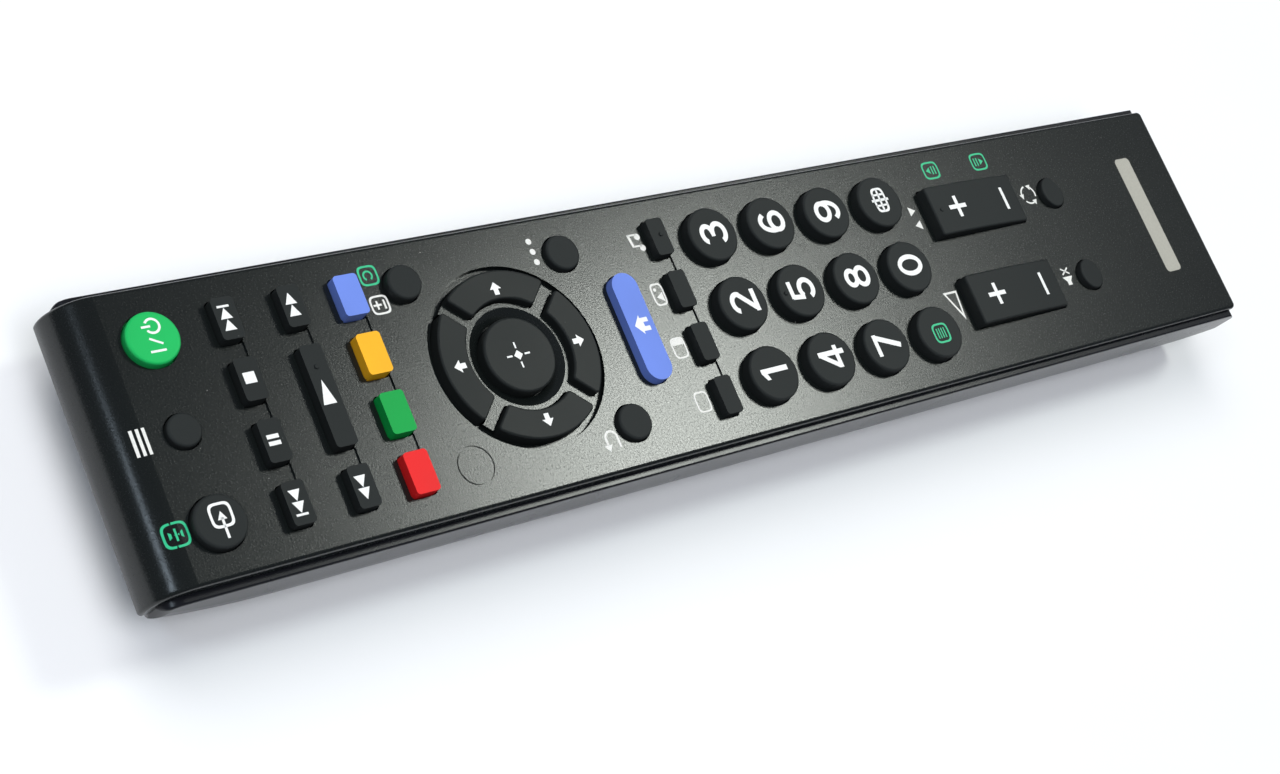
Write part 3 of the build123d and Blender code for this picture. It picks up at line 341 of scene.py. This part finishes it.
def arc(centre, radius, width, first, last):
    """A curved stroke between two angles in degrees, counted from +X."""
    count = max(FEWEST_STEPS, int(abs(last - first) / ARC_STEP))
    angles = [radians(first + (last - first) * i / count) for i in range(count + 1)]
    outside = [on_circle(centre, radius + width / 2, angle) for angle in angles]
    inside = [on_circle(centre, radius - width / 2, angle) for angle in angles]
    return [outside + inside[::-1]]


def bend(centre, radii, width, first, last):
    """A stroke along part of an ellipse, between two angles in degrees."""
    count = max(FEWEST_STEPS, int(abs(last - first) / BEND_STEP))
    loop = []
    for grown, way in ((width / 2, 1), (-width / 2, -1)):
        for i in range(count + 1)[::way]:
            a = radians(first + (last - first) * i / count)
            loop.append((centre[0] + (radii[0] + grown) * cos(a), centre[1] + (radii[1] + grown) * sin(a)))
    return [loop]


def barrel(centre, width, height, power=4.0, count=56):
    """A screen-shaped loop, between an ellipse and a rectangle."""
    loop = []
    for i in range(count):
        c, s = cos(2 * pi * i / count), sin(2 * pi * i / count)
        x = abs(c) ** (2 / power) * (1 if c > 0 else -1)
        y = abs(s) ** (2 / power) * (1 if s > 0 else -1)
        loop.append((centre[0] + x * width / 2, centre[1] + y * height / 2))
    return loop


def screen(centre, width, height, stroke):
    """Outline of a screen."""
    return [barrel(centre, width, height), barrel(centre, width - 2 * stroke, height - 2 * stroke)]


def triangle(tip, base, half):
    """A filled triangle from the middle of its base to its tip."""
    a, b = Vector(base), Vector(tip)
    side = (b - a).normalized().orthogonal() * half
    return poly(tuple(a + side), tuple(b), tuple(a - side))


def plus(centre, long_x, long_y, width):
    """A cross of two strokes as one outline."""
    x, y = centre
    w, a, b = width / 2, long_x / 2, long_y / 2
    right = [(w, b), (w, w), (a, w), (a, -w), (w, -w), (w, -b)]
    left = [(-w, -b), (-w, -w), (-a, -w), (-a, w), (-w, w), (-w, b)]
    return [[(x + u, y + v) for u, v in right + left]]


def moved(shape, centre, turn=0.0):
    """A shape turned about its own origin and carried to a place."""
    c, s = cos(radians(turn)), sin(radians(turn))
    return [[(centre[0] + c * x - s * y, centre[1] + s * x + c * y) for x, y in loop] for loop in shape]


def ring(centre, radii, width):
    """A closed elliptical stroke in two halves."""
    return [bend(centre, radii, width, -90, 90), bend(centre, radii, width, 90, 270)]


def rounded(centre, width, height, radius, count=8):
    """A loop with straight sides and round corners."""
    loop = []
    for quarter, (sx, sy) in enumerate(((1, 1), (-1, 1), (-1, -1), (1, -1))):
        corner = (centre[0] + sx * (width / 2 - radius), centre[1] + sy * (height / 2 - radius))
        for i in range(count + 1):
            loop.append(on_circle(corner, radius, pi / 2 * (quarter + i / count)))
    return loop


# Numerals 6 mm high as overlapping strokes
STROKE = 0.95
SIX = [*ring((0.0, -1.08), (1.64, 1.45), STROKE), bend((0.12, 0.0), (1.78, 2.53), STROKE, 38, 205)]
NUMERALS = {
    "0": ring((0.0, 0.0), (1.66, 2.53), STROKE),
    "1": [
        poly(
            (0.85, 3.0),
            (0.85, -3.0),
            (-0.12, -3.0),
            (-0.12, 1.8),
            (-1.25, 1.4),
            (-1.25, 2.2),
            (0.1, 3.0),
        )
    ],
    "2": [
        bend((0.0, 1.2), (1.6, 1.33), STROKE, 168, -28),
        bar((1.52, 0.85), (-1.5, -2.3), STROKE),
        bar((-2.1, -2.53), (2.1, -2.53), STROKE),
    ],
    "3": [
        bend((-0.05, 1.37), (1.5, 1.16), STROKE, 165, -92),
        bend((-0.05, -1.16), (1.68, 1.37), STROKE, 92, -165),
        bar((-0.6, 0.2), (0.2, 0.2), 0.85),
    ],
    "4": [
        bar((0.85, -3.0), (0.85, 3.0), STROKE),
        bar((-2.15, -1.3), (2.15, -1.3), 0.9),
        bar((0.8, 2.62), (-1.78, -1.1), 0.9),
    ],
    "5": [
        bar((-1.5, 2.55), (1.8, 2.55), 0.9),
        bar((-1.2, 2.7), (-1.5, -0.1), 0.9),
        bend((0.0, -1.02), (1.66, 1.5), STROKE, 138, -158),
    ],
    "6": SIX,
    "7": [bar((-2.1, 2.55), (2.1, 2.55), 0.9), bar((1.55, 2.4), (-0.75, -3.0), 1.0)],
    "8": [*ring((0.0, 1.38), (1.42, 1.15), STROKE), *ring((0.0, -1.18), (1.66, 1.35), STROKE)],
    "9": [moved(stroke, (0.0, 0.0), 180) for stroke in SIX],
}


# Output of the triangulation: only triangles inside the loops, and points closer than this are one
INSIDE_ONLY = 1
SAME_POINT = 1e-5


def numeral(text, centre):
    """Mesh of the area that the strokes of a numeral cover together."""
    points, loops = [], []
    for stroke in NUMERALS[text]:
        loop = moved(stroke, centre)[0]
        twice_area = sum(a[0] * b[1] - b[0] * a[1] for a, b in zip(loop, loop[1:] + loop[:1]))
        if twice_area < 0:
            loop = loop[::-1]
        loops.append(list(range(len(points), len(points) + len(loop))))
        points += [Vector(p) for p in loop]
    net = delaunay_2d_cdt(points, [], loops, INSIDE_ONLY, SAME_POINT)
    verts, faces, strokes_over = net[0], net[2], net[5]
    covered = [face for face, strokes in zip(faces, strokes_over) if strokes]
    mesh = bpy.data.meshes.new("numeral")
    mesh.from_pydata([(p.x, p.y, 0) for p in verts], [], covered)
    return mesh


def filled(shape):
    """Mesh of a shape's area, flat on Z 0."""
    curve = bpy.data.curves.new("outline", "CURVE")
    curve.dimensions = "2D"
    curve.fill_mode = "BOTH"
    for loop in shape:
        spline = curve.splines.new("POLY")
        spline.points.add(len(loop) - 1)
        for point, (x, y) in zip(spline.points, loop):
            point.co = (x, y, 0, 1)
        spline.use_cyclic_u = True
    source = bpy.data.objects.new("outline", curve)
    scene.collection.objects.link(source)
    bpy.context.view_layer.update()
    graph = bpy.context.evaluated_depsgraph_get()
    mesh = bpy.data.meshes.new_from_object(source.evaluated_get(graph))
    bpy.data.objects.remove(source)
    return mesh


# The top of the ink lies INK_LIFT above the surface and its underside INK_THICKNESS below that top.
# Points of a mark closer than SAME_PLACE become one. RAY_START is in metres and above the whole part.
INK_LIFT = 0.012
INK_THICKNESS = 0.03
SAME_PLACE = 0.002
RAY_START = 0.05
DOWN = Vector((0, 0, -1))

bodies = frame["record"]["behaviour"]["bodies"]
BODY_OF = {node: body for body, members in bodies.items() for node in members}
surfaces = {}


def surface(node):
    """Search tree of a node's faces."""
    if node not in surfaces:
        mesh = nodes[node].data
        corners = [vert.co for vert in mesh.vertices]
        surfaces[node] = BVHTree.FromPolygons(corners, [face.vertices for face in mesh.polygons])
    return surfaces[node]


def mark(name, node, ink, shapes):
    """Prints shapes on a node: a thin layer of ink that follows its surface and rides with it."""
    tree = surface(node)
    work = bmesh.new()
    for shape in shapes:
        mesh = filled(shape) if isinstance(shape, list) else shape
        work.from_mesh(mesh)
        bpy.data.meshes.remove(mesh)
    bmesh.ops.remove_doubles(work, verts=work.verts, dist=SAME_PLACE)
    loose = [vert for vert in work.verts if not vert.link_faces]
    bmesh.ops.delete(work, geom=loose, context="VERTS")
    bmesh.ops.recalc_face_normals(work, faces=work.faces)
    for face in work.faces:
        if face.normal.z < 0:
            face.normal_flip()
    for vert in work.verts:
        x, y = vert.co.x * MM, vert.co.y * MM
        hit = tree.ray_cast(Vector((x, y, RAY_START)), DOWN)[0]
        vert.co = Vector((x, y, hit.z + INK_LIFT * MM))
    below = bmesh.ops.extrude_face_region(work, geom=work.faces[:])
    for item in below["geom"]:
        if isinstance(item, bmesh.types.BMVert):
            item.co.z -= INK_THICKNESS * MM
    bmesh.ops.recalc_face_normals(work, faces=work.faces)
    mesh = bpy.data.meshes.new(name)
    work.to_mesh(mesh)
    work.free()
    piece = bpy.data.objects.new(name, mesh)
    scene.collection.objects.link(piece)
    mesh.materials.append(ink)
    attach(piece, BODY_OF[node])


# Number keys
NUMBER_PITCH = (13.49, 13.7)
NUMBER_FIRST = (-13.35, 3.9)
for i in range(9):
    place = (NUMBER_FIRST[0] + (i % 3) * NUMBER_PITCH[0], NUMBER_FIRST[1] - (i // 3) * NUMBER_PITCH[1])
    key = f"number_{i + 1}_key"
    mark(f"{key}_mark", key, key_ink, [numeral(str(i + 1), place)])
last_row = NUMBER_FIRST[1] - 3 * NUMBER_PITCH[1]
zero = (0.2, last_row)
mark("number_0_key_mark", "number_0_key", key_ink, [numeral("0", zero)])

page = (-13.85, last_row)
page_shape = [screen(page, 3.9, 3.9, 0.36), *lines(page, 2.0, (-0.9, -0.3, 0.3, 0.9), 0.26)]
mark("number_left_key_mark", "number_left_key", green_ink, page_shape)

grid = (13.8, last_row)
grid_shape = [
    screen(grid, 5.0, 3.2, 0.45),
    bar((grid[0] - 2.2, grid[1]), (grid[0] + 2.2, grid[1]), 0.45),
    bar((grid[0] - 1.1, grid[1] - 1.5), (grid[0] - 1.1, grid[1] + 1.5), 0.4),
    bar((grid[0], grid[1] - 2.1), (grid[0], grid[1] + 2.1), 0.5),
    bar((grid[0] + 1.1, grid[1] - 1.5), (grid[0] + 1.1, grid[1] + 1.5), 0.4),
]
mark("number_right_key_mark", "number_right_key", key_ink, grid_shape)

# Power and input keys
on_sign_x = 12.2
standby = (16.2, 110.6)
power_shape = [
    bar((on_sign_x, 109.7), (on_sign_x, 112.2), 0.36),
    bar((13.2, 109.85), (14.3, 111.75), 0.34),
    arc(standby, 1.12, 0.38, 122, 418),
    bar((standby[0], 110.9), (standby[0], 112.35), 0.36),
]
mark("power_key_mark", "power_key", key_ink, power_shape)
input_box = (-14.0, 110.95)
input_shape = [
    screen(input_box, 3.9, 3.7, 0.42),
    bar((-17.6, input_box[1]), (-14.4, input_box[1]), 0.42),
    triangle((-13.4, input_box[1]), (-14.7, input_box[1]), 0.75),
]
mark("input_key_mark", "input_key", key_ink, input_shape)

# Transport keys
SKIP_Y = 98.9
PLAY_Y = 87.75
ICON_HALF = 1.0
for side, name in ((1, "next"), (-1, "previous")):
    shapes = [
        triangle((side * 16.75, SKIP_Y), (side * 14.95, SKIP_Y), ICON_HALF),
        triangle((side * 14.85, SKIP_Y), (side * 13.05, SKIP_Y), ICON_HALF),
        bar((side * 17.0, SKIP_Y - ICON_HALF), (side * 17.0, SKIP_Y + ICON_HALF), 0.36),
    ]
    mark(f"{name}_key_mark", f"{name}_key", key_ink, shapes)
for side, name in ((1, "forward"), (-1, "rewind")):
    shapes = [
        triangle((side * 17.25, PLAY_Y), (side * 15.35, PLAY_Y), ICON_HALF),
        triangle((side * 15.25, PLAY_Y), (side * 13.35, PLAY_Y), ICON_HALF),
    ]
    mark(f"{name}_key_mark", f"{name}_key", key_ink, shapes)
stop_square = bar((4.3, SKIP_Y), (6.1, SKIP_Y), 1.95)
mark("stop_key_mark", "stop_key", key_ink, [stop_square])
pause_bars = [bar((x, SKIP_Y - ICON_HALF), (x, SKIP_Y + ICON_HALF), 0.66) for x in (-5.5, -4.42)]
mark("pause_key_mark", "pause_key", key_ink, pause_bars)
play_triangle = triangle((2.55, PLAY_Y), (-1.5, PLAY_Y), 1.15)
mark("play_key_mark", "play_key", key_ink, [play_triangle])

# Navigation ring
ARROW = poly(
    (0.0, 1.15),
    (1.1, -0.1),
    (0.46, -0.1),
    (0.46, -1.1),
    (-0.46, -1.1),
    (-0.46, -0.1),
    (-1.1, -0.1),
)
for name, place, turn in (
    ("up", (0.0, 63.2), 0),
    ("left", (-11.8, 51.5), 90),
    ("down", (0.0, 39.8), 180),
    ("right", (11.6, 51.2), 270),
):
    mark(f"nav_{name}_key_mark", f"nav_{name}_key", key_ink, [moved(ARROW, place, turn)])
centre = (-0.08, 51.7)
select_shape = [moved(poly((0.85, 0.0), (0.0, 0.85), (-0.85, 0.0), (0.0, -0.85)), centre)]
for turn in (0, 90, 180, 270):
    select_shape.append(moved(bar((1.2, 0.0), (2.25, 0.0), 0.3), centre, turn))
mark("select_key_mark", "select_key", key_ink, select_shape)

# Home key: a house
house = [
    (0.0, 1.6),
    (1.75, 0.15),
    (1.2, 0.15),
    (1.2, -1.4),
    (0.4, -1.4),
    (0.4, -0.35),
    (-0.4, -0.35),
    (-0.4, -1.4),
    (-1.2, -1.4),
    (-1.2, 0.15),
    (-1.75, 0.15),
]
mark("home_key_mark", "home_key", key_ink, [moved([house], (0.2, 26.3))])

# Rockers
for name, x, signs_y in (("programme", 9.6, (-55.6, -69.5)), ("volume", -9.0, (-55.2, -69.1))):
    plus_sign = plus((x, signs_y[0]), 4.4, 4.6, 0.85)
    minus_sign = bar((x - 2.35, signs_y[1]), (x + 2.35, signs_y[1]), 0.8)
    mark(f"{name}_rocker_mark", f"{name}_rocker", key_ink, [plus_sign, minus_sign])

# Centres of the green marks on the plate
freeze = (-14.85, 117.85)
reveal = (18.25, 72.0)
page_up = (18.5, -55.3)
page_down = (18.5, -68.7)
green_shapes = [
    screen(freeze, 3.9, 4.0, 0.36),
    bar((freeze[0] - 0.95, freeze[1]), (freeze[0] + 0.95, freeze[1]), 0.34),
    triangle((freeze[0], freeze[1] + 0.2), (freeze[0], freeze[1] + 1.1), 0.6),
    triangle((freeze[0], freeze[1] - 0.2), (freeze[0], freeze[1] - 1.1), 0.6),
    screen(reveal, 3.5, 3.5, 0.34),
    arc((reveal[0], reveal[1] + 0.1), 0.75, 0.32, -150, 150),
    screen(page_up, 3.7, 4.2, 0.36),
    triangle((page_up[0], page_up[1] + 1.3), (page_up[0], page_up[1] + 0.25), 0.7),
    *lines((page_up[0], page_up[1] - 0.7), 1.7, (0.35, -0.35), 0.3),
    screen(page_down, 3.7, 4.2, 0.36),
    triangle((page_down[0], page_down[1] - 1.3), (page_down[0], page_down[1] - 0.25), 0.7),
    *lines((page_down[0], page_down[1] + 0.7), 1.7, (0.35, -0.35), 0.3),
]
mark("plate_marks_green", "top_case", green_ink, green_shapes)

# The wedge, which is white as well, and the centres of the white marks
wedge_outer = [(-6.0, -44.0), (-6.0, -47.6), (-12.0, -46.9)]
wedge_inner = [(-6.4, -44.6), (-6.4, -47.15), (-10.6, -46.7)]
detail = (13.1, 71.95)
half_screen = (-4.75, 19.65)
blank_screen = (-14.9, 19.65)
options = (17.1, 40.4)
back = (-17.3, 40.4)
music = (15.3, 19.2)
picture = (5.3, 19.2)
channel = (9.6, -45.9)
swap = (9.75, -77.9)
silent = (-8.5, -77.8)

# One screen has its right half filled
inside_screen = barrel(half_screen, 3.26, 2.36)
right_half = [point for point in inside_screen if point[0] > half_screen[0] + 0.1]

# Three curved arrows in a circle: each arc ends in a head
swap_radius = 1.85
swap_turns = (0, 120, 240)
arrow_head = triangle((0.0, 0.75), (0.0, -0.35), 0.62)
arrow_heads = []
for turn in swap_turns:
    place = on_circle(swap, swap_radius, radians(turn + 92))
    arrow_heads.append(moved(arrow_head, place, turn + 95))

white_shapes = [
    screen(detail, 3.3, 3.4, 0.32),
    plus((detail[0], detail[1] + 0.45), 1.5, 1.5, 0.34),
    *lines((detail[0], detail[1] - 0.85), 1.6, (0.0,), 0.34),
    *lines((-0.4, 118.0), 4.2, (0.95, 0.0, -0.95), 0.5),
    disc((options[0] - 1.9, options[1]), 0.55),
    disc(options, 0.55),
    disc((options[0] + 1.9, options[1]), 0.55),
    arc((back[0] + 0.3, back[1] - 0.1), 1.15, 0.42, -90, 90),
    bar((back[0] + 0.3, back[1] - 1.25), (back[0] - 1.6, back[1] - 1.25), 0.42),
    bar((back[0] + 0.3, back[1] + 1.05), (back[0] - 0.8, back[1] + 1.05), 0.42),
    triangle((back[0] - 1.95, back[1] + 1.05), (back[0] - 0.75, back[1] + 1.05), 0.85),
    disc((music[0] - 1.15, music[1] - 0.95), 0.6),
    disc((music[0] + 1.0, music[1] - 0.65), 0.6),
    bar((music[0] - 0.7, music[1] - 0.9), (music[0] - 0.7, music[1] + 0.95), 0.32),
    bar((music[0] + 1.45, music[1] - 0.6), (music[0] + 1.45, music[1] + 1.3), 0.32),
    bar((music[0] - 0.84, music[1] + 0.85), (music[0] + 1.6, music[1] + 1.2), 0.5),
    screen(picture, 4.2, 2.7, 0.32),
    triangle((picture[0] - 0.5, picture[1] + 0.55), (picture[0] - 0.5, picture[1] - 0.85), 0.9),
    disc((picture[0] + 0.95, picture[1] + 0.4), 0.32),
    screen(half_screen, 3.9, 3.0, 0.3),
    [right_half],
    screen(blank_screen, 3.8, 3.0, 0.28),
    [wedge_outer, wedge_inner],
    triangle((channel[0] - 1.5, channel[1] + 0.8), (channel[0] - 1.5, channel[1] - 0.8), 0.95),
    triangle((channel[0] + 1.5, channel[1] - 0.8), (channel[0] + 1.5, channel[1] + 0.8), 0.95),
    *[arc(swap, swap_radius, 0.34, turn + 12, turn + 84) for turn in swap_turns],
    *arrow_heads,
    poly(
        (silent[0] - 1.7, silent[1] - 0.55),
        (silent[0] - 0.9, silent[1] - 0.55),
        (silent[0] + 0.1, silent[1] - 1.4),
        (silent[0] + 0.1, silent[1] + 1.4),
        (silent[0] - 0.9, silent[1] + 0.55),
        (silent[0] - 1.7, silent[1] + 0.55),
    ),
    bar((silent[0] + 0.6, silent[1] - 1.0), (silent[0] + 1.9, silent[1] + 1.0), 0.3),
    bar((silent[0] + 0.6, silent[1] + 1.0), (silent[0] + 1.9, silent[1] - 1.0), 0.3),
]
mark("plate_marks_white", "top_case", plate_ink, white_shapes)

# Band across the rear of the plate
band = rounded((0.5, -108.6), 25.9, 4.4, 0.9)
mark("plate_band", "top_case", band_ink, [[band]])

# Camera: the place, aim and lens that the photograph was taken with
camera_data = bpy.data.cameras.new("camera")
camera_data.sensor_width = 36.0
camera_data.lens = 61.99
camera_data.clip_start = 0.01
camera = bpy.data.objects.new("camera", camera_data)
camera.location = (-0.08753, 0.25139, 0.29962)
camera.rotation_euler = (radians(27.3435), radians(-30.2188), radians(-116.3654))
scene.collection.objects.link(camera)
scene.camera = camera

# Floor
floor_mesh = bpy.data.meshes.new("floor")
reach = 4.0
floor_corners = [(-reach, -reach, 0), (reach, -reach, 0), (reach, reach, 0), (-reach, reach, 0)]
floor_mesh.from_pydata(floor_corners, [], [(0, 1, 2, 3)])
floor = bpy.data.objects.new("floor", floor_mesh)
scene.collection.objects.link(floor)
paper = Shader("floor_paper", (0.88, 0.885, 0.90), 0.7)
paper.bump(paper.noise(1.2, 4.0), 0.02)
paper.colour(paper.blend(paper.noise(60.0, 2.0), (0.87, 0.875, 0.895), (0.90, 0.905, 0.915)))
floor_mesh.materials.append(paper.material)


# Light
def softbox(name, place, target, size, watts, colour):
    """A square area light aimed at a point; places and size are in metres."""
    lamp = bpy.data.lights.new(name, "AREA")
    lamp.shape = "SQUARE"
    lamp.size = size
    lamp.energy = watts
    lamp.color = colour
    holder = bpy.data.objects.new(name, lamp)
    holder.location = place
    holder.rotation_euler = (Vector(target) - Vector(place)).to_track_quat("-Z", "Y").to_euler()
    scene.collection.objects.link(holder)
    return holder


side = softbox("side_light", (0.72, 0.32, 1.12), (0, 0, 0), 0.9, 9.5, (1.0, 0.99, 0.97))
fill = softbox("fill_light", (-0.36, 0.32, 1.15), (0, 0, 0), 0.66, 8.5, (0.95, 0.97, 1.0))
# Of the lamps, only the two below show in reflections
side.visible_glossy = False
fill.visible_glossy = False
softbox("front_light", (0.14, 0.72, 0.80), (0, 0.1, 0), 0.16, 1.0, (0.72, 0.86, 1.0))
softbox("rear_light", (0.173, -0.635, 0.872), (-0.023, 0.032, 0.0195), 0.20, 3.2, (0.95, 1.0, 0.93))

# A plain sky, the same for all rays
world = bpy.data.worlds.new("surroundings")
scene.world = world
world.use_nodes = True
sky = world.node_tree.nodes["Background"]
sky.inputs["Color"].default_value = (0.80, 0.86, 1.0, 1)
sky.inputs["Strength"].default_value = 0.16

scene.view_settings.view_transform = "Standard"
